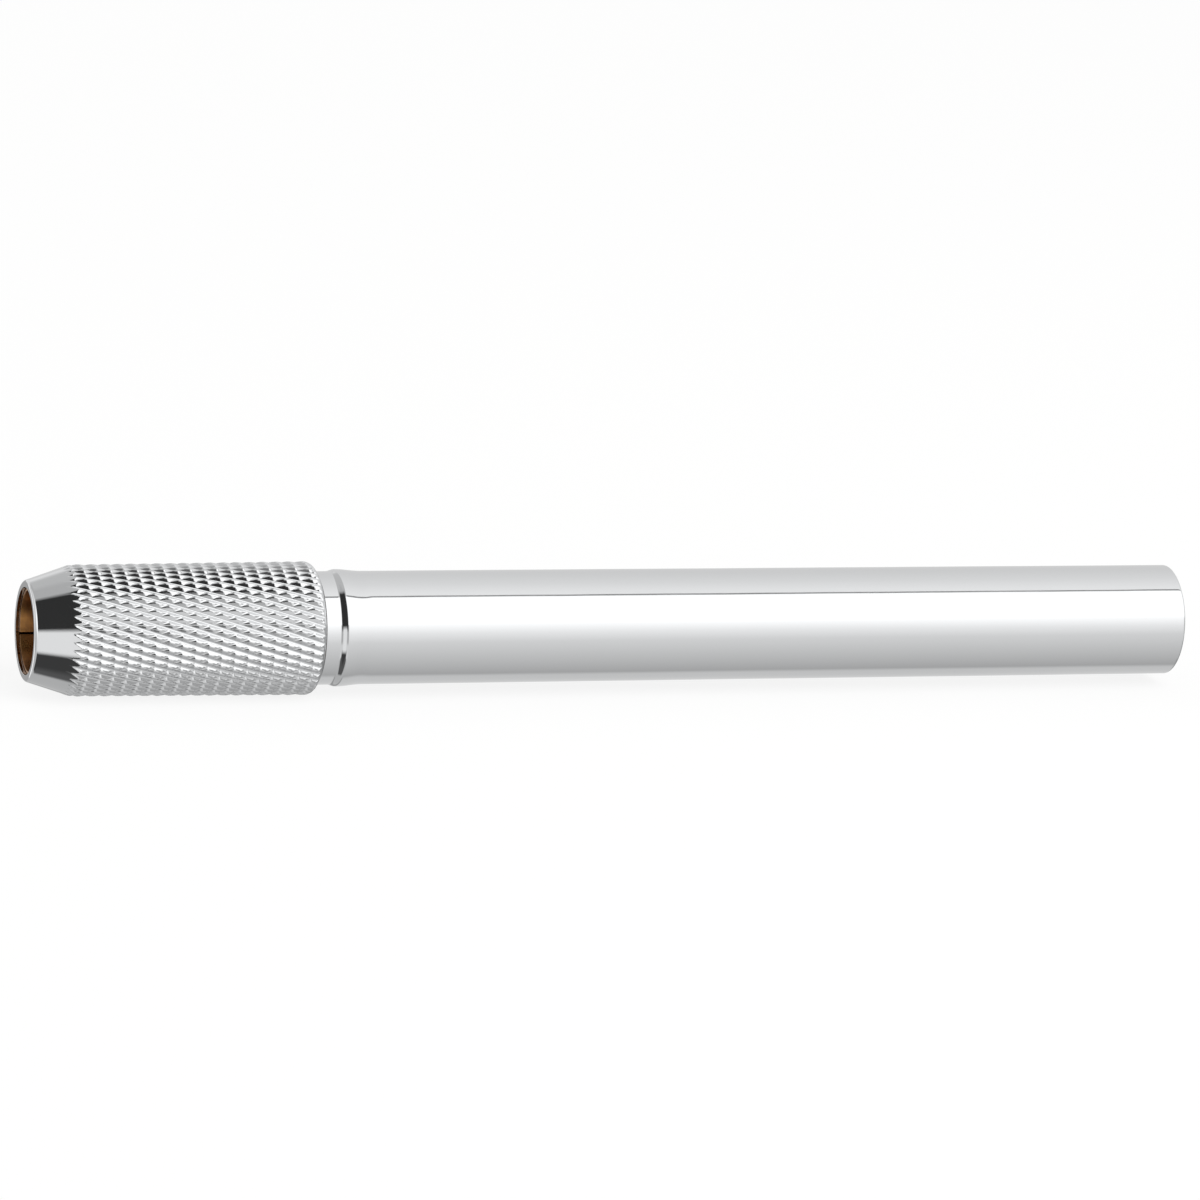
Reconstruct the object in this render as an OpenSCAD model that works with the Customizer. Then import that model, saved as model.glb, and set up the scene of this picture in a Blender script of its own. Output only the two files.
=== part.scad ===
// Pencil extender: a plated tube that lengthens a pencil stub.
// A knurled collar turns on the front of the tube. Its thread drives a split brass
// collet along a key, and the collar's inner taper closes the jaws on the pencil.
// The axis is X, the mouth is at x = 0 and faces -X, and the tail is at x = total_l.

/* [Barrel] */
// Length from the mouth to the tail
total_l = 115; // [100:1:150]
// Outside diameter of the tube
barrel_d = 10.75; // [10.7:0.01:10.85]
// Wall thickness of the tube
barrel_wall = 0.5; // [0.46:0.01:0.52]
// How far the swelling behind the collar stands out from the tube
swell_h = 0.185; // [0.02:0.005:0.3]
// Radius on the outer edge of the tail
tail_edge = 0.18; // [0.05:0.01:0.3]

/* [Collar] */
// Length of the collar
collar_l = 27.6; // [27.5:0.05:27.65]
// Diameter of the mouth
mouth_d = 8.2; // [8.1:0.05:8.3]
// Diameter of the nose, where the taper starts
nose_d = 9.44; // [9.3:0.02:9.6]
// Radius on the outer edge of the nose
nose_edge = 0.2; // [0.1:0.05:0.4]
// Slope of the nose taper against the axis
nose_angle = 18.5; // [17:0.5:20]
// Diameter over the knurl at its front end
knurl_front_d = 12.33; // [12.2:0.01:12.5]
// Diameter over the knurl at its rear end
knurl_rear_d = 12.65; // [12.5:0.01:12.8]
// Radius on the rear edge of the collar
rear_round = 0.9; // [0.7:0.05:0.95]

/* [Knurl] */
// Diamonds around the collar
knurl_count = 46; // [36:1:52]
// Half the length of a diamond along the axis
knurl_row = 1.266; // [1.1:0.002:1.5]
// Depth of the grooves
knurl_depth = 0.24; // [0.1:0.01:0.28]

/* [Collet] */
// Bore of the closed jaws
grip_d = 7.6; // [7.4:0.05:7.7]
// Width of the four slits between the closed jaws
slit_w = 0.2; // [0.2:0.05:0.5]
// How far the slit on the far side lies below the level of the axis, in degrees
slit_turn = 19; // [0:1:40]
// Slope of the closing taper inside the nose
taper_angle = 16; // [14:0.5:18]
// Running gap between the jaws and the closing taper
taper_gap = 0.05; // [0.04:0.01:0.08]
// Outside diameter of the jaws
jaw_d = 9; // [8.9:0.02:9.04]
// Distance from the mouth to the tips of the jaws
tip_x = 0.38; // [0.36:0.01:0.42]
// Distance from the mouth to the roots of the jaws
root_x = 14; // [13.6:0.1:14]
// Diameter of the collet's thread, taken at the middle of its flanks
thread_d = 9.52; // [9.46:0.02:9.54]

/* [Tail plug] */
// Length of the plug
plug_l = 2.4; // [1.5:0.1:4]
// How far the plug sits inside the tail
plug_inset = 0.25; // [0.1:0.05:0.6]

/* [Hidden] */
$fn = 96;

chrome = [0.80, 0.81, 0.83];
brass = [0.76, 0.58, 0.28];
steel = [0.55, 0.56, 0.58];

barrel_r = barrel_d / 2;
bore_r = barrel_r - barrel_wall;
front_gap = 0.1;
tube_x = collar_l + front_gap;

// Swelling of the tube: foot, crest and end along the axis
swell_foot = 28.9;
swell_crest = 30.15;
swell_end = 32.4;
swell_steps = 8;

mouth_r = mouth_d / 2;
land_l = 0.35;
land_edge = 0.05;
nose_r = nose_d / 2;
knurl_front_r = knurl_front_d / 2;
knurl_rear_r = knurl_rear_d / 2;
rear_x = collar_l - rear_round;
corner_x = (knurl_front_r - nose_r) / tan(nose_angle);
clear_r = knurl_rear_r + 0.4;
arc_steps = 8;

// Inside of the collar: jaw chamber, thread, chamber for the bush's flange, rolled lip
chamber_r = 4.9;
thread_gap = 0.04;
thread_r = thread_d / 2;
thread_x = 15;
flange_x = 24.2;
flange_end = 26.4;
flange_r = 5.3;
flange_gap = 0.05;
flange_play = 0.2;
lip_r = 5.0;
journal_r = lip_r - 0.07;
bush_r = 4.4;
bush_end = 32.3;

grip_r = grip_d / 2;
jaw_r = jaw_d / 2;
taper = tan(taper_angle);
tip_r = mouth_r + (tip_x - land_l) * taper - taper_gap;
taper_end = tip_x + (jaw_r - tip_r) / taper;
flex_r = 4.2;
flex_x = 10.2;
flex_end = 13.4;
flex_slope = 0.4;

root_gap = 0.04;
sleeve_r = 4.0;
sleeve_thread_end = 23;
sleeve_tail_r = 4.35;
sleeve_end = 27.2;

key_x = 25.3;
key_r = 0.6;
key_tip = 4.08;
key_head = 5.2;
slot_gap = 0.05;
slot_front = 24.15;
slot_rear = 25.35;

// Row spacing and row count of the knurl, which runs past both ends of the collar
knurl_x = -0.5;
knurl_rows = ceil((collar_l + 0.6 - knurl_x) / knurl_row);
knurl_points = 2 * knurl_count;

// Points on a circular arc in (radius, x), from angle a0 to a1
function arc(cr, cx, r, a0, a1, n) =
    [for (i = [0:n]) let (a = a0 + (a1 - a0) * i / n) [cr + r * cos(a), cx + r * sin(a)]];

// Smooth step from 0 to 1
function ease(t) = (1 - cos(180 * t)) / 2;

function swell_up() =
    [for (i = [0:swell_steps]) let (t = i / swell_steps)
        [barrel_r + swell_h * ease(t), swell_foot + (swell_crest - swell_foot) * t]];

function swell_down() =
    [for (i = [1:swell_steps]) let (t = i / swell_steps)
        [barrel_r + swell_h * (1 - ease(t)), swell_crest + (swell_end - swell_crest) * t]];

// Radius over the teeth of the knurl, which widens a little towards the rear
function crest_r(x) =
    knurl_front_r + (knurl_rear_r - knurl_front_r) * (x - corner_x) / (rear_x - corner_x);

function tooth(k, j) = (j + k) % 2 == 1;

function knurl_point(k, j) =
    let (x = knurl_x + k * knurl_row)
    let (r = crest_r(x) - (tooth(k, j) ? 0 : knurl_depth))
    let (a = 360 * j / knurl_points)
    [r * cos(a), r * sin(a), x];

function at(k, j) = k * knurl_points + (j + knurl_points) % knurl_points;

// Turns a profile of (radius, x) points about the X axis
module turned(profile) {
    rotate([0, 90, 0])
        rotate_extrude(convexity = 6)
            polygon(profile);
}

// Pyramids between two crossing sets of grooves, as one closed solid along Z
module knurl() {
    last = knurl_rows;
    heads = [
        for (k = [0:last], j = [0:knurl_points - 1])
            knurl_point(k, j)
    ];
    ends = [[0, 0, knurl_x], [0, 0, knurl_x + last * knurl_row]];
    rear_faces = [
        for (k = [0:last - 1], j = [0:knurl_points - 1], s = [-1, 1])
            if (tooth(k, j))
                s > 0
                    ? [at(k, j), at(k + 1, j), at(k, j + 1)]
                    : [at(k, j), at(k, j - 1), at(k + 1, j)]
    ];
    front_faces = [
        for (k = [1:last], j = [0:knurl_points - 1], s = [-1, 1])
            if (tooth(k, j))
                s > 0
                    ? [at(k, j), at(k, j + 1), at(k - 1, j)]
                    : [at(k, j), at(k - 1, j), at(k, j - 1)]
    ];
    front_cap = [
        for (j = [0:knurl_points - 1])
            [len(heads), at(0, j), at(0, j + 1)]
    ];
    rear_cap = [
        for (j = [0:knurl_points - 1])
            [len(heads) + 1, at(last, j + 1), at(last, j)]
    ];
    polyhedron(
        points = concat(heads, ends),
        faces = concat(rear_faces, front_faces, front_cap, rear_cap),
        convexity = 4
    );
}

// Outside limits of the collar: rounded nose, taper, rounded rear edge
module collar_limits() {
    edge_a = 90 - nose_angle;
    cone_x = nose_edge * (1 - sin(nose_angle));
    edge_cr = nose_r + cone_x * tan(nose_angle) - nose_edge * cos(nose_angle);
    turned(concat(
        [[0, 0], [edge_cr, 0]],
        arc(edge_cr, nose_edge, nose_edge, -90, -90 + edge_a, arc_steps),
        [[clear_r, (clear_r - nose_r) / tan(nose_angle)], [clear_r, rear_x]],
        arc(knurl_rear_r - rear_round, rear_x, rear_round, 0, 90, arc_steps),
        [[0, collar_l]]
    ));
}

module collar_inside() {
    chamber_x = land_l + (chamber_r - mouth_r) / taper;
    flange_room = flange_r + flange_gap;
    nut_r = thread_r + thread_gap;
    turned([
        [0, -0.5],
        [mouth_r + land_edge + 0.5, -0.5],
        [mouth_r, land_edge],
        [mouth_r, land_l],
        [chamber_r, chamber_x],
        [chamber_r, thread_x],
        [nut_r, thread_x],
        [nut_r, flange_x - flange_play],
        [flange_room, flange_x - flange_play],
        [flange_room, flange_end + flange_play],
        [lip_r, flange_end + flange_play],
        [lip_r, collar_l + 1],
        [0, collar_l + 1]
    ]);
}

module knurled_collar() {
    color(chrome)
        difference() {
            intersection() {
                collar_limits();
                rotate([0, 90, 0])
                    knurl();
            }
            collar_inside();
        }
}

module barrel_tube() {
    color(chrome)
        turned(concat(
            [[bore_r, tube_x], [barrel_r - 0.08, tube_x], [barrel_r, tube_x + 0.08]],
            swell_up(),
            swell_down(),
            arc(barrel_r - tail_edge, total_l - tail_edge, tail_edge, 0, 90, 5),
            [[bore_r + 0.06, total_l], [bore_r, total_l - 0.06]]
        ));
}

module tail_plug() {
    face_x = total_l - plug_inset;
    color(chrome)
        turned([
            [0, face_x - plug_l],
            [bore_r - 0.2, face_x - plug_l],
            [bore_r, face_x - plug_l + 0.2],
            [bore_r, face_x - 0.12],
            [bore_r - 0.12, face_x],
            [0, face_x]
        ]);
}

module radial_pin(r, low, high, x) {
    translate([x, 0, -high])
        cylinder(r = r, h = high - low);
}

module neck_bush() {
    color(brass)
        difference() {
            turned([
                [bush_r, flange_x],
                [flange_r - 0.1, flange_x],
                [flange_r, flange_x + 0.1],
                [flange_r, flange_end],
                [journal_r, flange_end],
                [journal_r, tube_x],
                [bore_r, tube_x],
                [bore_r, bush_end - 0.2],
                [bore_r - 0.2, bush_end],
                [bush_r, bush_end]
            ]);
            radial_pin(key_r, bush_r - 0.6, flange_r + 0.5, key_x);
        }
}

module key_pin() {
    color(steel)
        radial_pin(key_r, key_tip, key_head, key_x);
}

module key_slot() {
    w = key_r + slot_gap;
    radial_pin(w, 3, 5, slot_front);
    radial_pin(w, 3, 5, slot_rear);
    translate([slot_front, -w, -5])
        cube([slot_rear - slot_front, 2 * w, 2]);
}

module collet_sleeve() {
    front = root_x + root_gap;
    color(brass)
        difference() {
            turned([
                [sleeve_r, front],
                [jaw_r, front],
                [jaw_r, thread_x],
                [thread_r - 0.15, thread_x],
                [thread_r, thread_x + 0.15],
                [thread_r, sleeve_thread_end - 0.15],
                [thread_r - 0.15, sleeve_thread_end],
                [sleeve_tail_r, sleeve_thread_end],
                [sleeve_tail_r, sleeve_end - 0.15],
                [sleeve_tail_r - 0.15, sleeve_end],
                [sleeve_r, sleeve_end]
            ]);
            key_slot();
        }
}

// One of the four jaws: side is -1 at the front or 1 at the back, rise is 1 on top or -1 below
module jaw(side, rise) {
    reach = 8;
    color(brass)
        intersection() {
            turned([
                [grip_r, tip_x],
                [tip_r, tip_x],
                [jaw_r, taper_end],
                [jaw_r, flex_x],
                [flex_r, flex_x + flex_slope],
                [flex_r, flex_end - flex_slope],
                [jaw_r, flex_end],
                [jaw_r, root_x],
                [grip_r, root_x]
            ]);
            rotate([-slit_turn, 0, 0])
                translate([
                    0,
                    side > 0 ? slit_w / 2 : -slit_w / 2 - reach,
                    rise > 0 ? slit_w / 2 : -slit_w / 2 - reach
                ])
                    cube([root_x + 1, reach, reach]);
        }
}

module jaw_top_front() {
    jaw(-1, 1);
}

module jaw_top_back() {
    jaw(1, 1);
}

module jaw_bottom_front() {
    jaw(-1, -1);
}

module jaw_bottom_back() {
    jaw(1, -1);
}

barrel_tube();
tail_plug();
neck_bush();
key_pin();
knurled_collar();
collet_sleeve();
jaw_top_front();
jaw_top_back();
jaw_bottom_front();
jaw_bottom_back();
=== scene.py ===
"""Finished surfaces, finishes and studio of a pencil extender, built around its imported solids.

The axis is X, the mouth is at x = 0 and faces -X, Z is up and -Y faces the camera.
Sizes are in metres. An angle round the axis starts at -Y and grows upwards over the near side.
"""

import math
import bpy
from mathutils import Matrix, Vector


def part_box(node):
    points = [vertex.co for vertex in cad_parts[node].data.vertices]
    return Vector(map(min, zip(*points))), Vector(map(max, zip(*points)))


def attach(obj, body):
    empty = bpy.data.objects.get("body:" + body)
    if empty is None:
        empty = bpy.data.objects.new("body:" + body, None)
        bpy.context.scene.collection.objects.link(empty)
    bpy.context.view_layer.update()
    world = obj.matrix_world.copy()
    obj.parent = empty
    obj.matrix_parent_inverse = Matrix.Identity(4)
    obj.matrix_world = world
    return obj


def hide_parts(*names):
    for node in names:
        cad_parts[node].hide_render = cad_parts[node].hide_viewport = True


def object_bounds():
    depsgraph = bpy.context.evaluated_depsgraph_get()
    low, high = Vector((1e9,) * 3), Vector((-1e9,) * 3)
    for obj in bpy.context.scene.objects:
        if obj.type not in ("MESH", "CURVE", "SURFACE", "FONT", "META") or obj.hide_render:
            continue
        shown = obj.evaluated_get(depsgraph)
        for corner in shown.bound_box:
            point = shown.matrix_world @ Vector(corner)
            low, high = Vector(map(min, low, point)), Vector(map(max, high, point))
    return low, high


bl_info = {
    "name": "Pencil extender",
    "version": (1, 0, 0),
    "blender": (4, 5, 0),
    "location": "View3D > Sidebar > Extender",
    "description": "Plated tube, knurled collar, brass collet and studio of a pencil extender",
    "category": "Object",
}

import bmesh
import bpy
import numpy as np
from bpy.props import FloatProperty, FloatVectorProperty, IntProperty, PointerProperty
from mathutils import Matrix, Vector

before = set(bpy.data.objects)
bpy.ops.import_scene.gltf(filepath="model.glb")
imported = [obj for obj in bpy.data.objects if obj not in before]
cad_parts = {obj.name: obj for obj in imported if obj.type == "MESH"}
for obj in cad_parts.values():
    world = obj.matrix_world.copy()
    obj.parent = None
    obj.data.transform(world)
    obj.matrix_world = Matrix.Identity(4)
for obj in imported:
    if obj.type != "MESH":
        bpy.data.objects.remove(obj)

CAD_BOX = [list(corner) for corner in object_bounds()]
MM = 0.001

TUBE_LOW, TUBE_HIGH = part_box("barrel_tube")
COLLAR_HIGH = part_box("knurled_collar")[1]
PLUG_LOW, PLUG_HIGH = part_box("tail_plug")
JAW_LOW, JAW_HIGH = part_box("jaw_top_front")


def linear(hex_colour):
    """Linear RGB of an sRGB hex value such as "#D2D4D6"."""
    parts = [int(hex_colour[i : i + 2], 16) / 255 for i in (1, 3, 5)]
    return tuple(c / 12.92 if c <= 0.04045 else ((c + 0.055) / 1.055) ** 2.4 for c in parts)


def size(name, description, default):
    """A length property, given in metres."""
    return FloatProperty(name=name, description=description, default=default, unit="LENGTH", precision=5)


def angle_size(name, description, degrees):
    """An angle property, given in degrees."""
    return FloatProperty(name=name, description=description, default=math.radians(degrees), subtype="ANGLE")


def share_size(name, description, default):
    """A property that is a share of a whole."""
    return FloatProperty(name=name, description=description, default=default, subtype="FACTOR")


def colour(name, description, hex_colour):
    """A colour property, given as an sRGB hex value."""
    return FloatVectorProperty(
        name=name, description=description, default=linear(hex_colour), subtype="COLOR", min=0, max=1
    )


class TubeSizes(bpy.types.PropertyGroup):
    diameter: size("Diameter", "Outside diameter of the tube", 10.75 * MM)
    wall: size("Wall", "Wall thickness of the tube", 0.5 * MM)
    front: size("Front end", "Where the tube starts, behind the collar", TUBE_LOW.x)
    tail: size("Tail", "Where the tube ends", TUBE_HIGH.x)
    swell_foot: size("Swelling foot", "Where the swelling starts", 29.0 * MM)
    swell_crest: size("Swelling crest", "Where the swelling is highest", 29.85 * MM)
    swell_end: size("Swelling end", "Where the swelling has died away", 32.4 * MM)
    swell_height: size("Swelling height", "How far the swelling stands out", 0.185 * MM)
    tail_edge: size("Tail edge", "Radius on the outer edge of the tail", 0.18 * MM)
    ripple: size("Ripple", "Height of the faint waves that drawing leaves in the tube", 0.0022 * MM)


class CollarSizes(bpy.types.PropertyGroup):
    length: size("Length", "Length of the collar", COLLAR_HIGH.x)
    mouth: size("Mouth", "Diameter of the mouth", 8.2 * MM)
    mouth_edge: size("Mouth edge", "Width of the chamfer inside the mouth", 0.02 * MM)
    nose: size("Nose", "Diameter of the nose, where the taper starts", 9.44 * MM)
    nose_edge: size("Nose edge", "Radius on the outer edge of the nose", 0.35 * MM)
    nose_angle: angle_size("Nose angle", "Slope of the nose taper", 18.5)
    front_diameter: size("Front diameter", "Diameter over the knurl at its front end", 12.33 * MM)
    rear_diameter: size("Rear diameter", "Diameter over the knurl at its rear end", 12.65 * MM)
    rear_round: size("Rear round", "Radius on the rear edge of the collar", 0.9 * MM)


class KnurlSizes(bpy.types.PropertyGroup):
    starts: IntProperty(name="Starts", description="Diamonds around the collar", default=46, min=12)
    lead: size("Diamond length", "Length of a diamond along the axis", 2.532 * MM)
    depth: size("Groove depth", "Depth of the grooves that fall to the rear on the near side", 0.30 * MM)
    cross_depth: size("Cross groove depth", "Depth of the grooves that cross them", 0.185 * MM)
    lean: share_size("Lean", "Share of a ridge taken by its lower flank", 5 / 9)
    crest: share_size("Crest", "How far the ridges are cut off at the top", 0.12)
    cross_crest: share_size("Cross crest", "How far the crossing ridges are cut off", 0.42)
    facets: IntProperty(name="Facets", description="Mesh columns across one ridge", default=9, min=4)


class ColletSizes(bpy.types.PropertyGroup):
    grip: size("Grip", "Bore of the closed jaws", 7.6 * MM)
    diameter: size("Diameter", "Outside diameter of the jaws", 9.0 * MM)
    tip: size("Tip", "Where the jaws start", JAW_LOW.x)
    root: size("Root", "Where the jaws end", JAW_HIGH.x)
    tip_diameter: size("Tip diameter", "Outside diameter of the jaws at their tips", 8.1172 * MM)
    taper_end: size("Taper end", "Where the closing taper of the jaws ends", 1.9194 * MM)
    neck_diameter: size("Neck diameter", "Outside diameter of the thin neck that bends", 8.4 * MM)
    slit: size("Slit", "Width of the slits between the closed jaws", 0.2 * MM)
    slit_turn: angle_size("Slit turn", "How far the slit on the far side lies below the axis", 19)
    edge: size("Edge", "Width of the softened edges", 0.035 * MM)


class Finishes(bpy.types.PropertyGroup):
    chrome: colour("Chrome", "Colour of the plating", "#D3D4D5")
    brass: colour("Brass", "Colour of clean turned brass", "#B4844C")
    tarnish: colour("Tarnish", "Colour of tarnished brass", "#74503A")
    steel: colour("Steel", "Colour of the ground pin", "#B4B6B8")
    paper: colour("Paper", "Colour of the studio floor", "#F4F4F3")


class Studio(bpy.types.PropertyGroup):
    azimuth: angle_size("Azimuth", "Camera angle from -Y towards -X", 18.408)
    elevation: angle_size("Elevation", "Camera angle above the floor", 15.0)
    roll: angle_size("Roll", "Camera turn about its own line of sight", 4.405)
    distance: size("Distance", "From the camera to the point it looks at", 547.3 * MM)
    aim: FloatVectorProperty(
        name="Aim",
        description="Point the camera looks at",
        default=(56.147 * MM, 0.299 * MM, 2.411 * MM),
        subtype="TRANSLATION",
    )
    lens: FloatProperty(
        name="Lens", description="Focal length in millimetres on a 36 mm frame", default=171.0
    )
    floor_drop: size("Floor drop", "Gap between the lowest point of the part and the floor", 0.005 * MM)


class ExtenderSettings(bpy.types.PropertyGroup):
    tube: PointerProperty(type=TubeSizes)
    collar: PointerProperty(type=CollarSizes)
    knurl: PointerProperty(type=KnurlSizes)
    collet: PointerProperty(type=ColletSizes)
    finishes: PointerProperty(type=Finishes)
    studio: PointerProperty(type=Studio)


# Colour sockets of a Mix node, which share their names with its sockets for other types
MIX_FIRST, MIX_SECOND, MIX_RESULT = 6, 7, 2


def add(tree, kind, settings=None, inputs=None):
    """Adds a node, sets its settings, and sets or links its inputs by name or number."""
    node = tree.nodes.new(kind)
    for name, value in (settings or {}).items():
        setattr(node, name, value)
    for key, value in (inputs or {}).items():
        if isinstance(value, bpy.types.NodeSocket):
            tree.links.new(value, node.inputs[key])
        else:
            node.inputs[key].default_value = value
    return node


def new_material(name):
    """A material with an empty tree, its metal shader and its object coordinates."""
    material = bpy.data.materials.new(name)
    material.use_nodes = True
    tree = material.node_tree
    tree.nodes.clear()
    shader = add(tree, "ShaderNodeBsdfPrincipled", inputs={"Metallic": 1.0})
    add(tree, "ShaderNodeOutputMaterial", inputs={"Surface": shader.outputs["BSDF"]})
    coords = add(tree, "ShaderNodeTexCoord").outputs["Object"]
    return material, tree, shader, coords


def chrome_plate(finishes):
    """Bright chrome plate, buffed after plating: a mirror that is hardly tinted, with a
    little haze where it was handled and hairlines along the axis from the buffing wheel."""
    material, tree, shader, coords = new_material("bright_chrome_plate")
    smudge_size, hair_width, hair_length = 5 * MM, 0.12 * MM, 9 * MM
    smudge = add(
        tree,
        "ShaderNodeTexNoise",
        inputs={"Vector": coords, "Scale": 1 / smudge_size, "Detail": 4.0, "Roughness": 0.6},
    )
    haze = add(
        tree,
        "ShaderNodeMapRange",
        inputs={
            "Value": smudge.outputs["Fac"],
            "From Min": 0.35,
            "From Max": 0.75,
            "To Min": 0.035,
            "To Max": 0.085,
        },
    )
    stretched = add(
        tree,
        "ShaderNodeMapping",
        inputs={"Vector": coords, "Scale": (1 / hair_length, 1 / hair_width, 1 / hair_width)},
    )
    hairlines = add(
        tree,
        "ShaderNodeTexNoise",
        inputs={"Vector": stretched.outputs["Vector"], "Scale": 1.0, "Detail": 2.0},
    )
    bump = add(
        tree,
        "ShaderNodeBump",
        inputs={"Height": hairlines.outputs["Fac"], "Strength": 0.03, "Distance": 0.02 * MM},
    )
    shader.inputs["Base Color"].default_value = (*finishes.chrome, 1)
    tree.links.new(haze.outputs["Result"], shader.inputs["Roughness"])
    tree.links.new(bump.outputs["Normal"], shader.inputs["Normal"])
    return material


def turned_brass(finishes):
    """Bare brass, bored on a lathe and left unplated: warm gold that has browned in
    patches, with fine tool rings round the axis."""
    material, tree, shader, coords = new_material("turned_bare_brass")
    patch_size, ring_pitch = 1.6 * MM, 0.16 * MM
    patches = add(
        tree,
        "ShaderNodeTexNoise",
        inputs={"Vector": coords, "Scale": 1 / patch_size, "Detail": 5.0, "Roughness": 0.62},
    )
    browned = add(
        tree,
        "ShaderNodeMapRange",
        inputs={"Value": patches.outputs["Fac"], "From Min": 0.3, "From Max": 0.72},
    )
    tint = add(
        tree,
        "ShaderNodeMix",
        {"data_type": "RGBA"},
        {
            "Factor": browned.outputs["Result"],
            MIX_FIRST: (*finishes.brass, 1),
            MIX_SECOND: (*finishes.tarnish, 1),
        },
    )
    dull = add(
        tree,
        "ShaderNodeMapRange",
        inputs={"Value": browned.outputs["Result"], "To Min": 0.24, "To Max": 0.42},
    )
    along = add(tree, "ShaderNodeSeparateXYZ", inputs={"Vector": coords})
    turns = add(
        tree,
        "ShaderNodeMath",
        {"operation": "MULTIPLY"},
        {0: along.outputs["X"], 1: math.tau / ring_pitch},
    )
    rings = add(tree, "ShaderNodeMath", {"operation": "SINE"}, {0: turns.outputs["Value"]})
    bump = add(
        tree,
        "ShaderNodeBump",
        inputs={"Height": rings.outputs["Value"], "Strength": 0.25, "Distance": 0.004 * MM},
    )
    tree.links.new(tint.outputs[MIX_RESULT], shader.inputs["Base Color"])
    tree.links.new(dull.outputs["Result"], shader.inputs["Roughness"])
    tree.links.new(bump.outputs["Normal"], shader.inputs["Normal"])
    return material


def ground_steel(finishes):
    """Ground steel pin: a neutral grey with a fine grain from the grinding wheel."""
    material, tree, shader, coords = new_material("ground_steel")
    grain_size = 0.08 * MM
    grain = add(tree, "ShaderNodeTexNoise", inputs={"Vector": coords, "Scale": 1 / grain_size, "Detail": 3.0})
    satin = add(
        tree, "ShaderNodeMapRange", inputs={"Value": grain.outputs["Fac"], "To Min": 0.22, "To Max": 0.4}
    )
    bump = add(
        tree,
        "ShaderNodeBump",
        inputs={"Height": grain.outputs["Fac"], "Strength": 0.15, "Distance": 0.003 * MM},
    )
    shader.inputs["Base Color"].default_value = (*finishes.steel, 1)
    tree.links.new(satin.outputs["Result"], shader.inputs["Roughness"])
    tree.links.new(bump.outputs["Normal"], shader.inputs["Normal"])
    return material


def shared(name, make, finishes):
    """The material of that name, made the first time that it is asked for."""
    return bpy.data.materials.get(name) or make(finishes)


def chrome(finishes):
    return shared("bright_chrome_plate", chrome_plate, finishes)


def brass(finishes):
    return shared("turned_bare_brass", turned_brass, finishes)


def steel(finishes):
    return shared("ground_steel", ground_steel, finishes)


def arc(cx, cr, radius, start, end, steps):
    """Points (x, r) on a circular arc, with angles in degrees from the +r side towards +x."""
    angles = np.radians(np.linspace(start, end, steps + 1))
    return [(cx + radius * math.sin(a), cr + radius * math.cos(a)) for a in angles]


def softened(corners, steps=3):
    """Profile through corners (x, r, edge radius), with rounded corners and rows close beside them."""
    points = []
    count = len(corners)
    for i, (x, r, radius) in enumerate(corners):
        here = np.array((x, r))
        if radius == 0 or i in (0, count - 1):
            points.append((x, r))
            continue
        before = np.array(corners[i - 1][:2]) - here
        after = np.array(corners[i + 1][:2]) - here
        reach = min(np.linalg.norm(before), np.linalg.norm(after)) / 3
        before, after = before / np.linalg.norm(before), after / np.linalg.norm(after)
        half = math.acos(max(-1.0, min(1.0, float(before @ after)))) / 2
        cut = min(radius / math.tan(half), reach)
        first, last = here + before * cut, here + after * cut
        points.append(tuple(here + before * min(2 * cut, cut + reach)))
        for k in range(steps + 1):
            t = k / steps
            points.append(tuple((1 - t) ** 2 * first + 2 * t * (1 - t) * here + t**2 * last))
        points.append(tuple(here + after * min(2 * cut, cut + reach)))
    return points


def spaced(points, step):
    """Adds points along the long stretches of a profile, because columns that follow a helix
    cut inside a bore where its rows lie far apart."""
    filled = [points[0]]
    for (x, r), (next_x, next_r) in zip(points, points[1:]):
        parts = max(1, math.ceil(abs(next_x - x) / step))
        filled += [(x + (next_x - x) * k / parts, r + (next_r - r) * k / parts) for k in range(1, parts + 1)]
    return filled


def turned_mesh(name, profile, columns, lead=None, starts=None, radius_change=None):
    """Closed mesh of a closed profile (x, r) turned about the X axis.
    With lead and starts, the columns follow the helix of the knurl."""
    rings = np.array(profile, float)
    count = len(rings)
    column = np.arange(columns)
    angle = np.tile(math.tau * column / columns, (count, 1))
    if lead:
        angle = angle - math.tau * rings[:, :1] / (lead * starts)
    x = np.repeat(rings[:, :1], columns, axis=1)
    radius = np.repeat(rings[:, 1:], columns, axis=1)
    if radius_change is not None:
        radius = radius + radius_change(x, angle, radius)
    points = np.stack([x, -radius * np.cos(angle), radius * np.sin(angle)], axis=-1).reshape(-1, 3)
    ring, col = np.meshgrid(np.arange(count), column, indexing="ij")
    next_ring, next_col = (ring + 1) % count, (col + 1) % columns
    a, b = ring * columns + col, ring * columns + next_col
    c, d = next_ring * columns + next_col, next_ring * columns + col
    halves = [np.stack(corners, -1).reshape(-1, 3) for corners in ((a, b, c), (a, c, d))]
    triangles = np.concatenate(halves)
    mesh = bpy.data.meshes.new(name)
    mesh.from_pydata(points.tolist(), [], triangles.tolist())
    return cleaned(mesh)


def cleaned(mesh):
    """Merges the doubles on the axis, points every face outwards and shades it smooth."""
    same_place = 1e-4 * MM
    work = bmesh.new()
    work.from_mesh(mesh)
    bmesh.ops.remove_doubles(work, verts=work.verts, dist=same_place)
    bmesh.ops.dissolve_degenerate(work, dist=same_place, edges=work.edges)
    bmesh.ops.recalc_face_normals(work, faces=work.faces)
    if work.calc_volume(signed=True) < 0:
        bmesh.ops.reverse_faces(work, faces=work.faces)
    for face in work.faces:
        face.smooth = True
    work.to_mesh(mesh)
    work.free()
    mesh.update()
    return mesh


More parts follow.
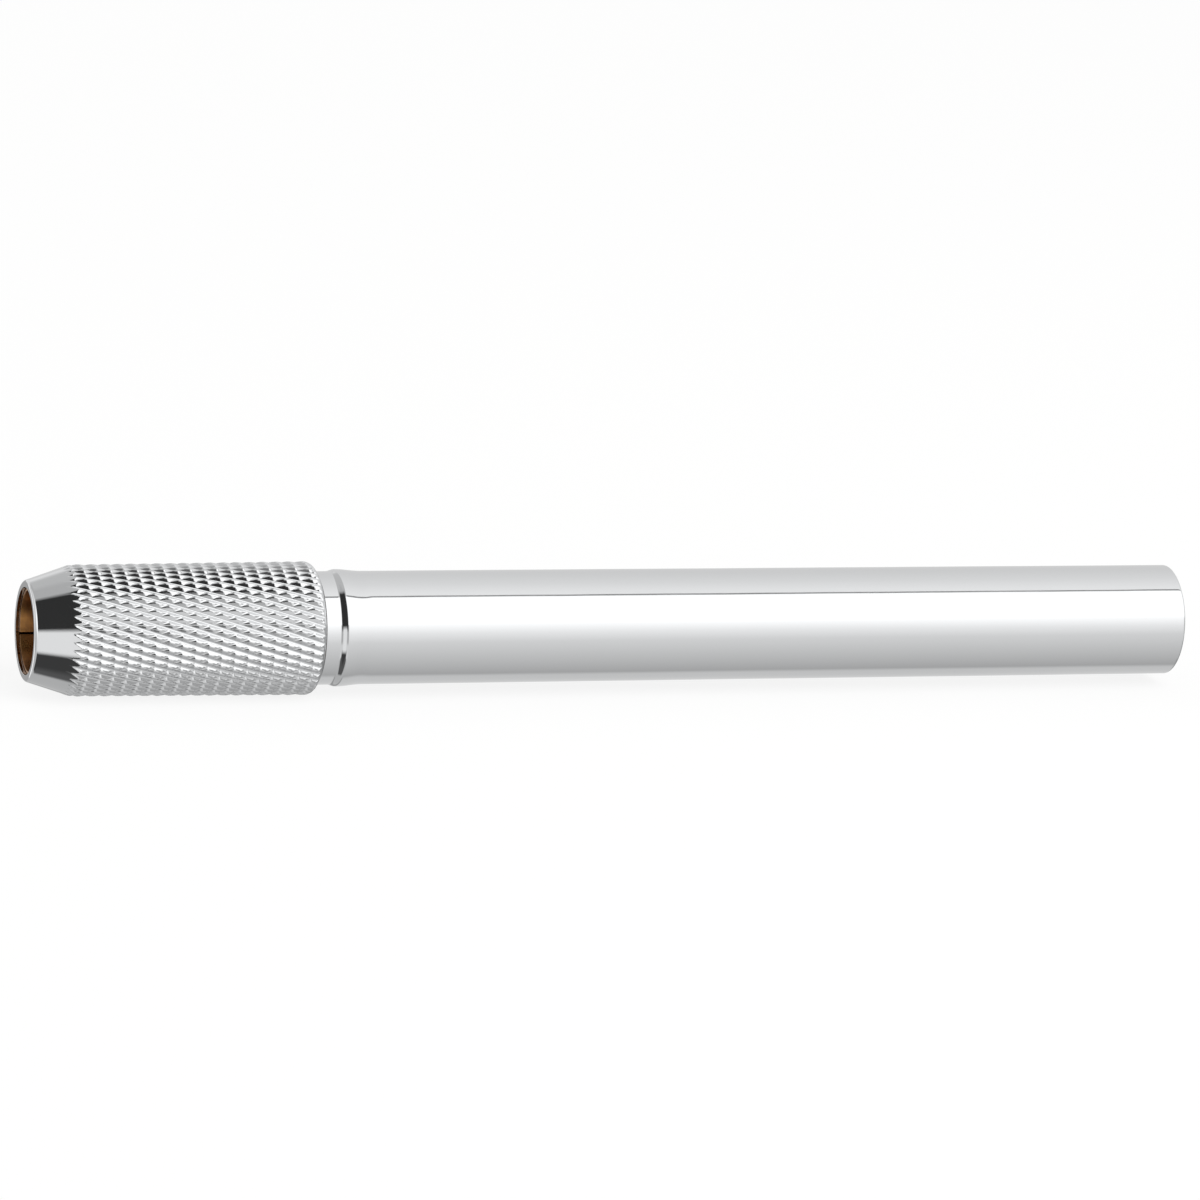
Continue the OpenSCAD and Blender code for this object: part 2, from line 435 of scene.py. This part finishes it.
def place(name, mesh, material, body, node, sharp):
    """Puts a finished mesh in the scene as the piece that stands for one node.
    Edges that turn by more than sharp degrees stay crisp."""
    mesh.set_sharp_from_angle(angle=math.radians(sharp))
    mesh.materials.clear()
    mesh.materials.append(material)
    piece = bpy.data.objects.new(name, mesh)
    bpy.context.scene.collection.objects.link(piece)
    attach(piece, body)
    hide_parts(node)


def baked(name, mesh, set_up):
    """Plain mesh of a mesh with a modifier that set_up adds, with the modifier gone."""
    holder = bpy.data.objects.new(name + "_blank", mesh)
    bpy.context.scene.collection.objects.link(holder)
    set_up(holder)
    bpy.context.view_layer.update()
    depsgraph = bpy.context.evaluated_depsgraph_get()
    result = bpy.data.meshes.new_from_object(
        holder.evaluated_get(depsgraph), preserve_all_data_layers=True, depsgraph=depsgraph
    )
    holder.modifiers.clear()
    bpy.data.objects.remove(holder)
    result.name = name
    return result


class EXTENDER_OT_tube(bpy.types.Operator):
    """Turns the plated tube, with its swelling, square tail and the faint waves of a drawn tube"""

    bl_idname = "extender.tube"
    bl_label = "Plated tube"

    def execute(self, context):
        settings = context.scene.pencil_extender
        tube = settings.tube
        radius, bore = tube.diameter / 2, tube.diameter / 2 - tube.wall
        front_edge, inner_edge = 0.03 * MM, 0.06 * MM
        beside_rim = 1.6 * inner_edge
        front_rows, swell_rows, plain_rows, bore_rows, columns = 10, 56, 90, 24, 240
        fade_front, fade_tail, skin = 4 * MM, 2 * MM, 0.01 * MM

        def outside(x):
            if tube.swell_foot < x < tube.swell_crest:
                t = (x - tube.swell_foot) / (tube.swell_crest - tube.swell_foot)
            elif tube.swell_crest <= x < tube.swell_end:
                t = (tube.swell_end - x) / (tube.swell_end - tube.swell_crest)
            else:
                t = 0.0
            return radius + tube.swell_height * (1 - math.cos(math.pi * t)) / 2

        stations = np.concatenate(
            [
                np.linspace(tube.front + 2 * front_edge, tube.swell_foot, front_rows, endpoint=False),
                np.linspace(tube.swell_foot, tube.swell_end, swell_rows, endpoint=False),
                np.linspace(tube.swell_end, tube.tail - 2 * tube.tail_edge, plain_rows),
            ]
        )
        profile = arc(tube.front + front_edge, radius - front_edge, front_edge, -90, 0, 4)
        profile += [(x, outside(x)) for x in stations]
        profile += arc(tube.tail - tube.tail_edge, radius - tube.tail_edge, tube.tail_edge, 0, 90, 8)
        profile += [(tube.tail, bore + beside_rim)]
        profile += arc(tube.tail - inner_edge, bore + inner_edge, inner_edge, 90, 180, 3)
        profile += [(x, bore) for x in np.linspace(tube.tail - 2 * inner_edge, tube.front, bore_rows)]

        def waves(x, angle, r):
            """Faint waves on the outside, which fade out towards the swelling and the tail."""
            turn = angle - math.pi / 2
            parts = (
                # height, length along the tube for a radian, sway round the tube
                (1.0, 2.9 * MM, np.sin(turn)),
                (0.8, 1.31 * MM, 2.0 * np.cos(turn) + 1.3),
                (0.9, 6.7 * MM, np.cos(2 * turn)),
            )
            wave = sum(height * np.sin(x / length + sway) for height, length, sway in parts)
            from_swell = np.clip((x - tube.swell_end) / fade_front, 0, 1)
            from_tail = np.clip((tube.tail - x) / fade_tail, 0, 1)
            return tube.ripple * wave * from_swell * from_tail * (r > radius - skin)

        mesh = turned_mesh("plated_tube", profile, columns, radius_change=waves)
        plate = chrome(settings.finishes)
        place("plated_tube", mesh, plate, "barrel", "barrel_tube", sharp=50)
        return {"FINISHED"}


class EXTENDER_OT_tail_plug(bpy.types.Operator):
    """Turns the plug that closes the tail"""

    bl_idname = "extender.tail_plug"
    bl_label = "Tail plug"

    def execute(self, context):
        settings = context.scene.pencil_extender
        radius, columns = PLUG_HIGH.z, 128
        lead_in, lead_softness = 0.2 * MM, 0.05 * MM
        edge, edge_softness = 0.12 * MM, 0.04 * MM
        profile = softened(
            [
                (PLUG_LOW.x, 0, 0),
                (PLUG_LOW.x, radius - lead_in, lead_softness),
                (PLUG_LOW.x + lead_in, radius, lead_softness),
                (PLUG_HIGH.x - edge, radius, edge_softness),
                (PLUG_HIGH.x, radius - edge, edge_softness),
                (PLUG_HIGH.x, 0, 0),
            ]
        )
        mesh = turned_mesh("tail_plug_face", profile, columns)
        plate = chrome(settings.finishes)
        place("tail_plug_face", mesh, plate, "barrel", "tail_plug", sharp=50)
        return {"FINISHED"}


def knurling_tree():
    """Geometry nodes that press two crossing sets of grooves, one deeper than the other, into a
    turned blank. Whatever stands above the knurl's surface is pushed down to it, so grooves run
    out on the taper."""
    tree = bpy.data.node_groups.new("Knurling", "GeometryNodeTree")
    face = tree.interface
    face.new_socket("Geometry", in_out="INPUT", socket_type="NodeSocketGeometry")
    for name in (
        "Starts",
        "Diamond length",
        "Groove depth",
        "Cross groove depth",
        "Lean",
        "Crest",
        "Cross crest",
        "Front x",
        "Front radius",
        "Rear x",
        "Rear radius",
    ):
        face.new_socket(name, in_out="INPUT", socket_type="NodeSocketFloat")
    face.new_socket("Material", in_out="INPUT", socket_type="NodeSocketMaterial")
    face.new_socket("Geometry", in_out="OUTPUT", socket_type="NodeSocketGeometry")
    given = add(tree, "NodeGroupInput").outputs

    position = add(tree, "GeometryNodeInputPosition").outputs["Position"]
    x, y, z = add(tree, "ShaderNodeSeparateXYZ", inputs={0: position}).outputs
    crest_radius = add(
        tree,
        "ShaderNodeMapRange",
        {"clamp": False},
        {
            "Value": x,
            "From Min": given["Front x"],
            "From Max": given["Rear x"],
            "To Min": given["Front radius"],
            "To Max": given["Rear radius"],
        },
    ).outputs["Result"]
    smallest_radius = 1e-6
    steps = [
        # what it gives, operation, what it takes: a name from above or a number
        ("y squared", "MULTIPLY", "y", "y"),
        ("z squared", "MULTIPLY", "z", "z"),
        ("radius squared", "ADD", "y squared", "z squared"),
        ("radius", "SQRT", "radius squared"),
        ("nearness", "MULTIPLY", "y", -1.0),
        ("angle", "ARCTAN2", "z", "nearness"),
        ("starts per radian", "DIVIDE", "Starts", math.tau),
        ("round it", "MULTIPLY", "angle", "starts per radian"),
        ("along it", "DIVIDE", "x", "Diamond length"),
        ("main phase", "ADD", "round it", "along it"),
        ("cross phase", "SUBTRACT", "round it", "along it"),
        ("upper part", "SUBTRACT", 1.0, "Lean"),
    ]
    for grooves, cut_off, depth in (
        ("main", "Crest", "Groove depth"),
        ("cross", "Cross crest", "Cross groove depth"),
    ):
        steps += [
            (grooves + " share", "FRACT", grooves + " phase"),
            (grooves + " lower flank", "DIVIDE", grooves + " share", "Lean"),
            (grooves + " rest", "SUBTRACT", 1.0, grooves + " share"),
            (grooves + " upper flank", "DIVIDE", grooves + " rest", "upper part"),
            (grooves + " ridge", "MINIMUM", grooves + " lower flank", grooves + " upper flank"),
            (grooves + " rise", "ADD", cut_off, 1.0),
            (grooves + " raised ridge", "MULTIPLY", grooves + " ridge", grooves + " rise"),
            (grooves + " level", "MINIMUM", grooves + " raised ridge", 1.0),
            (grooves + " drop", "SUBTRACT", 1.0, grooves + " level"),
            (grooves + " sunk", "MULTIPLY", grooves + " drop", depth),
        ]
    steps += [
        ("groove", "MAXIMUM", "main sunk", "cross sunk"),
        ("surface", "SUBTRACT", "crest radius", "groove"),
        ("kept radius", "MINIMUM", "radius", "surface"),
        ("safe radius", "MAXIMUM", "radius", smallest_radius),
        ("squeeze", "DIVIDE", "kept radius", "safe radius"),
        ("new y", "MULTIPLY", "y", "squeeze"),
        ("new z", "MULTIPLY", "z", "squeeze"),
    ]
    known = {socket.name: socket for socket in given}
    known.update({"x": x, "y": y, "z": z, "crest radius": crest_radius})
    for name, operation, *values in steps:
        takes = {i: known.get(value, value) for i, value in enumerate(values)}
        known[name] = add(tree, "ShaderNodeMath", {"operation": operation, "label": name}, takes).outputs[0]
    moved = add(
        tree, "ShaderNodeCombineXYZ", inputs={"X": x, "Y": known["new y"], "Z": known["new z"]}
    ).outputs["Vector"]
    pressed = add(
        tree, "GeometryNodeSetPosition", inputs={"Geometry": given["Geometry"], "Position": moved}
    ).outputs["Geometry"]
    real = add(tree, "GeometryNodeRealizeInstances", inputs={"Geometry": pressed}).outputs["Geometry"]
    plated = add(
        tree, "GeometryNodeSetMaterial", inputs={"Geometry": real, "Material": given["Material"]}
    ).outputs["Geometry"]
    add(tree, "NodeGroupOutput", inputs={"Geometry": plated})
    return tree


class EXTENDER_OT_collar(bpy.types.Operator):
    """Turns the collar's blank and presses the diamond knurl into it"""

    bl_idname = "extender.collar"
    bl_label = "Knurled collar"

    def execute(self, context):
        settings = context.scene.pencil_extender
        collar, knurl = settings.collar, settings.knurl
        slope = math.tan(collar.nose_angle)
        front_r, rear_r, nose_r = collar.front_diameter / 2, collar.rear_diameter / 2, collar.nose / 2
        corner_x = (front_r - nose_r) / slope
        rear_x = collar.length - collar.rear_round
        row = knurl.lead / (2 * knurl.facets)
        runout_x = (front_r - knurl.depth - nose_r) / slope - row
        lip_gap = 0.06 * MM
        lip_steps, nose_rows, rear_steps = 7, 7, 9

        edge, edge_end = collar.nose_edge, collar.nose_edge * (1 - math.sin(collar.nose_angle))
        edge_r = nose_r + edge_end * slope - edge * math.cos(collar.nose_angle)
        profile = arc(edge, edge_r, edge, -90, -math.degrees(collar.nose_angle), lip_steps)
        plain = np.linspace(edge_end + lip_gap, runout_x, nose_rows, endpoint=False)
        profile += [(x, nose_r + x * slope) for x in plain]

        def limit(x):
            flank = front_r + (rear_r - front_r) * (x - corner_x) / (rear_x - corner_x)
            return min(nose_r + x * slope, flank)

        first, last = math.ceil(runout_x / row), math.floor(rear_x / row)
        half_rows = math.ceil((corner_x + row) / row)
        for k in range(first, last + 1):
            profile.append((k * row, limit(k * row)))
            if k < half_rows:
                profile.append(((k + 0.5) * row, limit((k + 0.5) * row)))
        profile += arc(rear_x, rear_r - collar.rear_round, collar.rear_round, 0, 90, rear_steps)
        profile += self.inside(collar, edge_r)

        columns = knurl.starts * knurl.facets
        blank = turned_mesh("knurled_collar_blank", profile, columns, knurl.lead, knurl.starts)
        plate = chrome(settings.finishes)
        values = {
            "Starts": float(knurl.starts),
            "Diamond length": knurl.lead,
            "Groove depth": knurl.depth,
            "Cross groove depth": knurl.cross_depth,
            "Lean": knurl.lean,
            "Crest": knurl.crest,
            "Cross crest": knurl.cross_crest,
            "Front x": corner_x,
            "Front radius": front_r,
            "Rear x": rear_x,
            "Rear radius": rear_r,
            "Material": plate,
        }

        def press(holder):
            modifier = holder.modifiers.new("Knurling", "NODES")
            modifier.node_group = knurling_tree()
            for item in modifier.node_group.interface.items_tree:
                if item.in_out == "INPUT" and item.name in values:
                    modifier[item.identifier] = values[item.name]

        mesh = baked("knurled_collar_shell", blank, press)
        place("knurled_collar_shell", mesh, plate, "collar", "knurled_collar", sharp=86)
        return {"FINISHED"}

    @staticmethod
    def inside(collar, lip_r):
        """Profile of the inside from the rear to the mouth: rear bore, room for the bush's flange,
        thread, jaw chamber, closing taper and mouth."""
        rear_r, flange_r, thread_r, chamber_r = 5.0 * MM, 5.35 * MM, 4.8 * MM, 4.9 * MM
        flange_rear, flange_front, thread_front = 26.6 * MM, 24.0 * MM, 15.0 * MM
        taper_rear, taper_front = 3.14 * MM, 0.35 * MM
        rear_softness, taper_softness, mouth_softness = 0.06 * MM, 0.02 * MM, 0.008 * MM
        mouth_r = collar.mouth / 2
        row_gap = 2.0 * MM
        corners = [
            (collar.length, collar.rear_diameter / 2 - collar.rear_round, 0),
            (collar.length, rear_r, rear_softness),
            (flange_rear, rear_r, 0),
            (flange_rear, flange_r, 0),
            (flange_front, flange_r, 0),
            (flange_front, thread_r, 0),
            (thread_front, thread_r, 0),
            (thread_front, chamber_r, 0),
            (taper_rear, chamber_r, 0),
            (taper_front, mouth_r, taper_softness),
            (collar.mouth_edge, mouth_r, mouth_softness),
            (0.0, mouth_r + collar.mouth_edge, mouth_softness),
            (0.0, lip_r, 0),
        ]
        return spaced(softened(corners)[1:-1], row_gap)


class EXTENDER_OT_jaws(bpy.types.Operator):
    """Cuts the four brass jaws of the collet, with softened edges"""

    bl_idname = "extender.jaws"
    bl_label = "Collet jaws"

    def execute(self, context):
        settings = context.scene.pencil_extender
        collet = settings.collet
        grip, outer, neck = collet.grip / 2, collet.diameter / 2, collet.neck_diameter / 2
        neck_front, neck_rear, neck_slope = 10.6 * MM, 13.0 * MM, 0.4 * MM
        columns, edge_angle = 28, 35
        profile = [
            (collet.tip, grip),
            (collet.tip, collet.tip_diameter / 2),
            (collet.taper_end, outer),
            (neck_front - neck_slope, outer),
            (neck_front, neck),
            (neck_rear, neck),
            (neck_rear + neck_slope, outer),
            (collet.root, outer),
            (collet.root, grip),
        ]
        jaws = (
            ("top_front", "jaw_tf", -1, 1),
            ("top_back", "jaw_tb", 1, 1),
            ("bottom_front", "jaw_bf", -1, -1),
            ("bottom_back", "jaw_bb", 1, -1),
        )

        def soften(holder):
            bevel = holder.modifiers.new("Softened edges", "BEVEL")
            bevel.width = collet.edge
            bevel.segments = 2
            bevel.limit_method = "ANGLE"
            bevel.angle_limit = math.radians(edge_angle)
            bevel.harden_normals = False

        metal = brass(settings.finishes)
        for name, body, side, rise in jaws:
            mesh = self.sector("brass_jaw_" + name, profile, side, rise, collet, columns)
            finished = baked("brass_jaw_" + name, mesh, soften)
            place("brass_jaw_" + name, finished, metal, body, "jaw_" + name, sharp=40)
        return {"FINISHED"}

    @staticmethod
    def sector(name, profile, side, rise, collet, steps):
        """A quarter of a turned profile, cut back by half a slit on both sides and turned with the slits."""
        count = len(profile)
        points = []
        turn_y, turn_z = math.cos(collet.slit_turn), math.sin(collet.slit_turn)
        for k in range(steps + 1):
            for x, r in profile:
                trim = math.asin(collet.slit / 2 / r)
                angle = trim + (math.pi / 2 - 2 * trim) * k / steps
                y, z = side * r * math.cos(angle), rise * r * math.sin(angle)
                points.append((x, y * turn_y + z * turn_z, z * turn_y - y * turn_z))
        faces = [list(range(count)), list(range(steps * count, (steps + 1) * count))]
        for k in range(steps):
            for i in range(count):
                j = (i + 1) % count
                faces.append([k * count + i, k * count + j, (k + 1) * count + j, (k + 1) * count + i])
        mesh = bpy.data.meshes.new(name)
        mesh.from_pydata(points, [], faces)
        return cleaned(mesh)


class EXTENDER_OT_inner_works(bpy.types.Operator):
    """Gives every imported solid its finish: the inner pieces show it, finer meshes replace the rest"""

    bl_idname = "extender.inner_works"
    bl_label = "Inner works"

    def execute(self, context):
        finishes = context.scene.pencil_extender.finishes
        plated = ("barrel_tube", "tail_plug", "knurled_collar")
        for name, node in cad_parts.items():
            if name == "key_pin":
                material = steel(finishes)
            elif name in plated:
                material = chrome(finishes)
            else:
                material = brass(finishes)
            node.data.materials.clear()
            node.data.materials.append(material)
        return {"FINISHED"}


class EXTENDER_OT_stage(bpy.types.Operator):
    """Sets the pale floor, the studio that the metal mirrors, the lamps and the camera"""

    bl_idname = "extender.stage"
    bl_label = "Stage"

    def execute(self, context):
        settings = context.scene.pencil_extender
        self.floor(settings)
        self.surroundings(context.scene)
        self.lamps(context.scene)
        self.camera(context.scene, settings.studio)
        context.scene.view_settings.view_transform = "Standard"
        return {"FINISHED"}

    @staticmethod
    def floor(settings):
        half = 1.6
        white_share = 0.85
        z = CAD_BOX[0][2] - settings.studio.floor_drop
        corners = [(-half, -half, z), (half, -half, z), (half, half, z), (-half, half, z)]
        mesh = bpy.data.meshes.new("studio_floor")
        mesh.from_pydata(corners, [], [(0, 1, 2, 3)])
        floor = bpy.data.objects.new("studio_floor", mesh)
        bpy.context.scene.collection.objects.link(floor)
        material = bpy.data.materials.new("matt_white_paper")
        material.use_nodes = True
        tree = material.node_tree
        tree.nodes.clear()
        paper = add(
            tree, "ShaderNodeBsdfDiffuse", inputs={"Color": (*settings.finishes.paper, 1), "Roughness": 1.0}
        )
        bright = add(tree, "ShaderNodeEmission", inputs={"Color": (1, 1, 1, 1), "Strength": 1.0})
        path = add(tree, "ShaderNodeLightPath")
        share = add(
            tree,
            "ShaderNodeMath",
            {"operation": "MULTIPLY"},
            {0: path.outputs["Is Camera Ray"], 1: white_share},
        )
        mixed = add(
            tree,
            "ShaderNodeMixShader",
            inputs={0: share.outputs[0], 1: paper.outputs["BSDF"], 2: bright.outputs["Emission"]},
        )
        add(tree, "ShaderNodeOutputMaterial", inputs={"Surface": mixed.outputs["Shader"]})
        mesh.materials.append(material)
        floor.visible_glossy = False

    @staticmethod
    def surroundings(scene):
        """A white studio for the camera, and for the metal the wall and table paper with the softboxes,
        cards and flags that it mirrors. The paper is darkest straight below the part: painted shade that
        stands in for the part's own shadow on the table. An angle across is from the plane across the axis
        towards the tail. An angle round the axis is 0 level towards the camera, 90 up and -90 down."""
        # Both tables were partly fitted to brightness measured in the photograph, then changed
        # The paper is darkest at -96, straight below: painted shade of the part's own shadow on the table,
        # which the metal mirrors
        paper = (
            # angle round, strength
            (-180, 0.76), (-106, 0.76), (-96, 0.54), (-46, 0.78), (-16, 0.94), (3, 1.2), (24, 1.6), (60, 1.6),
            (80, 1.2), (94, 1.12), (114, 1.0), (144, 0.88), (180, 0.76),
        )
        shapers = (
            # what it is, angles across, angles round, strength, fade across, fade round
            ("grey wall on the left", (-32, 4), (-190, 190), 0.6, 3, 4),
            ("pale wall high on the left", (-11, 4), (95, 150), 0.68, 3, 10),
            ("pale window behind", (-32, 4), (152, 190), 0.95, 3, 12),
            ("grey corner behind on the left", (-22, -3), (-178, -148), 0.45, 4, 6),
            ("white panel behind on the left", (-50, -23), (-190, -142), 1.5, 4, 6),
            ("pale card beside the camera", (-32, 6), (-50, -16), 0.9, 3, 8),
            ("upper flag on the left", (-32, -5), (10.5, 90), 0.04, 4, 8),
            ("lower flag on the left", (-32, -8.5), (-91, -34), 0.06, 4, 12),
            ("dark edge of the table", (-14, -4), (-91, -46), 0.12, 3, 6),
            ("white card on the far left", (-36, -15), (-33.5, 15.5), 1.08, 4, 9),
            ("softbox on the right", (-2, 42), (21, 78.5), 1.6, 3, 0.6),
            ("grey gap behind the table", (5, 11.5), (-150, -100), 0.4, 3, 5),
            ("gap on the right", (31, 39), (-84, 20), 0.5, 3, 5),
            ("shade under the table", (26, 60), (-190, -80), 0.4, 3, 6),
            ("white panel on the right", (39, 49), (-38, 56), 1.6, 3, 6),
            ("dark board on the far right", (54, 68), (-190, 22), 0.3, 4, 6),
            ("left end of the room", (-95, -68), (-190, 190), 0.5, 16, 4),
            ("right end of the room", (68, 95), (-190, 190), 0.5, 16, 4),
            ("pale top of the left end", (-95, -66), (40, 140), 0.95, 12, 40),
            ("pale top of the right end", (66, 95), (40, 140), 0.95, 12, 40),
            ("frame of the softbox", (8, 28), (79.5, 82.5), 0.35, 2, 0.4),
        )
        brightest, ambient_strength = 2.0, 0.7
        world = bpy.data.worlds.new("white_studio")
        scene.world = world
        world.use_nodes = True
        tree = world.node_tree
        tree.nodes.clear()
        direction = add(tree, "ShaderNodeTexCoord").outputs["Generated"]
        x, y, z = add(tree, "ShaderNodeSeparateXYZ", inputs={0: direction}).outputs
        away = add(tree, "ShaderNodeMath", {"operation": "MULTIPLY"}, {0: y, 1: -1.0})
        around = add(tree, "ShaderNodeMath", {"operation": "ARCTAN2"}, {0: z, 1: away.outputs[0]}).outputs[0]
        across = add(tree, "ShaderNodeMath", {"operation": "ARCSINE"}, {0: x}).outputs[0]
        share = add(
            tree, "ShaderNodeMapRange", inputs={"Value": around, "From Min": -math.pi, "From Max": math.pi}
        ).outputs["Result"]
        ramp = add(tree, "ShaderNodeValToRGB", inputs={"Fac": share})
        elements = ramp.color_ramp.elements
        elements.remove(elements[1])
        for i, (degrees, strength) in enumerate(paper):
            at = (degrees + 180) / 360
            element = elements[0] if i == 0 else elements.new(at)
            element.position = at
            element.color = (strength / brightest,) * 3 + (1,)
        mirrored = ramp.outputs["Color"]

        def within(angle, limits, fade):
            """1 between two angles and 0 outside them, with a soft edge at both."""
            sides = []
            for limit, low, high in ((limits[0], 0.0, 1.0), (limits[1], 1.0, 0.0)):
                edges = {
                    "Value": angle,
                    "From Min": math.radians(limit - fade / 2),
                    "From Max": math.radians(limit + fade / 2),
                    "To Min": low,
                    "To Max": high,
                }
                sides.append(add(tree, "ShaderNodeMapRange", inputs=edges).outputs["Result"])
            return add(tree, "ShaderNodeMath", {"operation": "MULTIPLY"}, dict(enumerate(sides))).outputs[0]

        for name, limits_across, limits_round, strength, fade_across, fade_round in shapers:
            reach_across = within(across, limits_across, fade_across)
            reach_round = within(around, limits_round, fade_round)
            cover = add(tree, "ShaderNodeMath", {"operation": "MULTIPLY"}, {0: reach_across, 1: reach_round})
            mirrored = add(
                tree,
                "ShaderNodeMix",
                {"data_type": "RGBA", "label": name},
                {
                    "Factor": cover.outputs[0],
                    MIX_FIRST: mirrored,
                    MIX_SECOND: (strength / brightest,) * 3 + (1,),
                },
            ).outputs[MIX_RESULT]
        seen = add(tree, "ShaderNodeBackground", inputs={"Color": mirrored, "Strength": brightest})
        white = (1, 1, 1, 1)
        ambient = add(tree, "ShaderNodeBackground", inputs={"Color": white, "Strength": ambient_strength})
        backdrop = add(tree, "ShaderNodeBackground", inputs={"Color": white, "Strength": 1.0})
        path = add(tree, "ShaderNodeLightPath")
        for_metal = add(
            tree,
            "ShaderNodeMixShader",
            inputs={0: path.outputs["Is Glossy Ray"], 1: ambient.outputs[0], 2: seen.outputs[0]},
        )
        for_camera = add(
            tree,
            "ShaderNodeMixShader",
            inputs={0: path.outputs["Is Camera Ray"], 1: for_metal.outputs[0], 2: backdrop.outputs[0]},
        )
        add(tree, "ShaderNodeOutputWorld", inputs={"Surface": for_camera.outputs[0]})

    @staticmethod
    def lamps(scene):
        """Two soft lamps that light the floor, so that the part keeps a soft shadow."""
        target = Vector((55 * MM, 0, 0))
        for name, power, spread, place_at in (
            ("front_softbox", 2.2, 0.5, (0.25, -0.45, 0.5)),
            ("back_fill", 1.0, 0.6, (-0.2, 0.5, 0.6)),
        ):
            lamp = bpy.data.lights.new(name, "AREA")
            lamp.energy = power
            lamp.size = spread
            holder = bpy.data.objects.new(name, lamp)
            scene.collection.objects.link(holder)
            at = Vector(place_at)
            holder.location = at
            holder.rotation_euler = (target - at).to_track_quat("-Z", "Y").to_euler()
            holder.visible_glossy = False

    @staticmethod
    def camera(scene, studio):
        data = bpy.data.cameras.new("photo_camera")
        data.sensor_width = 36.0
        data.sensor_fit = "HORIZONTAL"
        data.lens = studio.lens
        data.clip_start, data.clip_end = 0.01, 20.0
        holder = bpy.data.objects.new("photo_camera", data)
        scene.collection.objects.link(holder)
        ahead = Vector(
            (
                math.sin(studio.azimuth) * math.cos(studio.elevation),
                math.cos(studio.azimuth) * math.cos(studio.elevation),
                -math.sin(studio.elevation),
            )
        )
        level = ahead.cross(Vector((0, 0, 1))).normalized()
        upright = level.cross(ahead)
        right = level * math.cos(studio.roll) + upright * math.sin(studio.roll)
        up = upright * math.cos(studio.roll) - level * math.sin(studio.roll)
        at = Vector(studio.aim) - ahead * studio.distance
        holder.matrix_world = Matrix(
            (
                (right.x, up.x, -ahead.x, at.x),
                (right.y, up.y, -ahead.y, at.y),
                (right.z, up.z, -ahead.z, at.z),
                (0, 0, 0, 1),
            )
        )
        scene.camera = holder


PIECES = (
    EXTENDER_OT_tube,
    EXTENDER_OT_tail_plug,
    EXTENDER_OT_collar,
    EXTENDER_OT_jaws,
    EXTENDER_OT_inner_works,
    EXTENDER_OT_stage,
)


class EXTENDER_PT_sidebar(bpy.types.Panel):
    """Sizes, finishes and build steps of the pencil extender"""

    bl_idname = "EXTENDER_PT_sidebar"
    bl_label = "Pencil extender"
    bl_space_type = "VIEW_3D"
    bl_region_type = "UI"
    bl_category = "Extender"

    def draw(self, context):
        settings = context.scene.pencil_extender
        for title in ("tube", "collar", "knurl", "collet", "finishes", "studio"):
            box = self.layout.box()
            box.label(text=title.capitalize())
            group = getattr(settings, title)
            for name in group.__annotations__:
                box.prop(group, name)
        for piece in PIECES:
            self.layout.operator(piece.bl_idname)


CLASSES = (
    TubeSizes,
    CollarSizes,
    KnurlSizes,
    ColletSizes,
    Finishes,
    Studio,
    ExtenderSettings,
    *PIECES,
    EXTENDER_PT_sidebar,
)


def register():
    for item in CLASSES:
        bpy.utils.register_class(item)
    bpy.types.Scene.pencil_extender = PointerProperty(type=ExtenderSettings)


def unregister():
    del bpy.types.Scene.pencil_extender
    for item in reversed(CLASSES):
        bpy.utils.unregister_class(item)


def main():
    register()
    bpy.ops.extender.tube()
    bpy.ops.extender.tail_plug()
    bpy.ops.extender.collar()
    bpy.ops.extender.jaws()
    bpy.ops.extender.inner_works()
    bpy.ops.extender.stage()


if __name__ == "__main__":
    main()
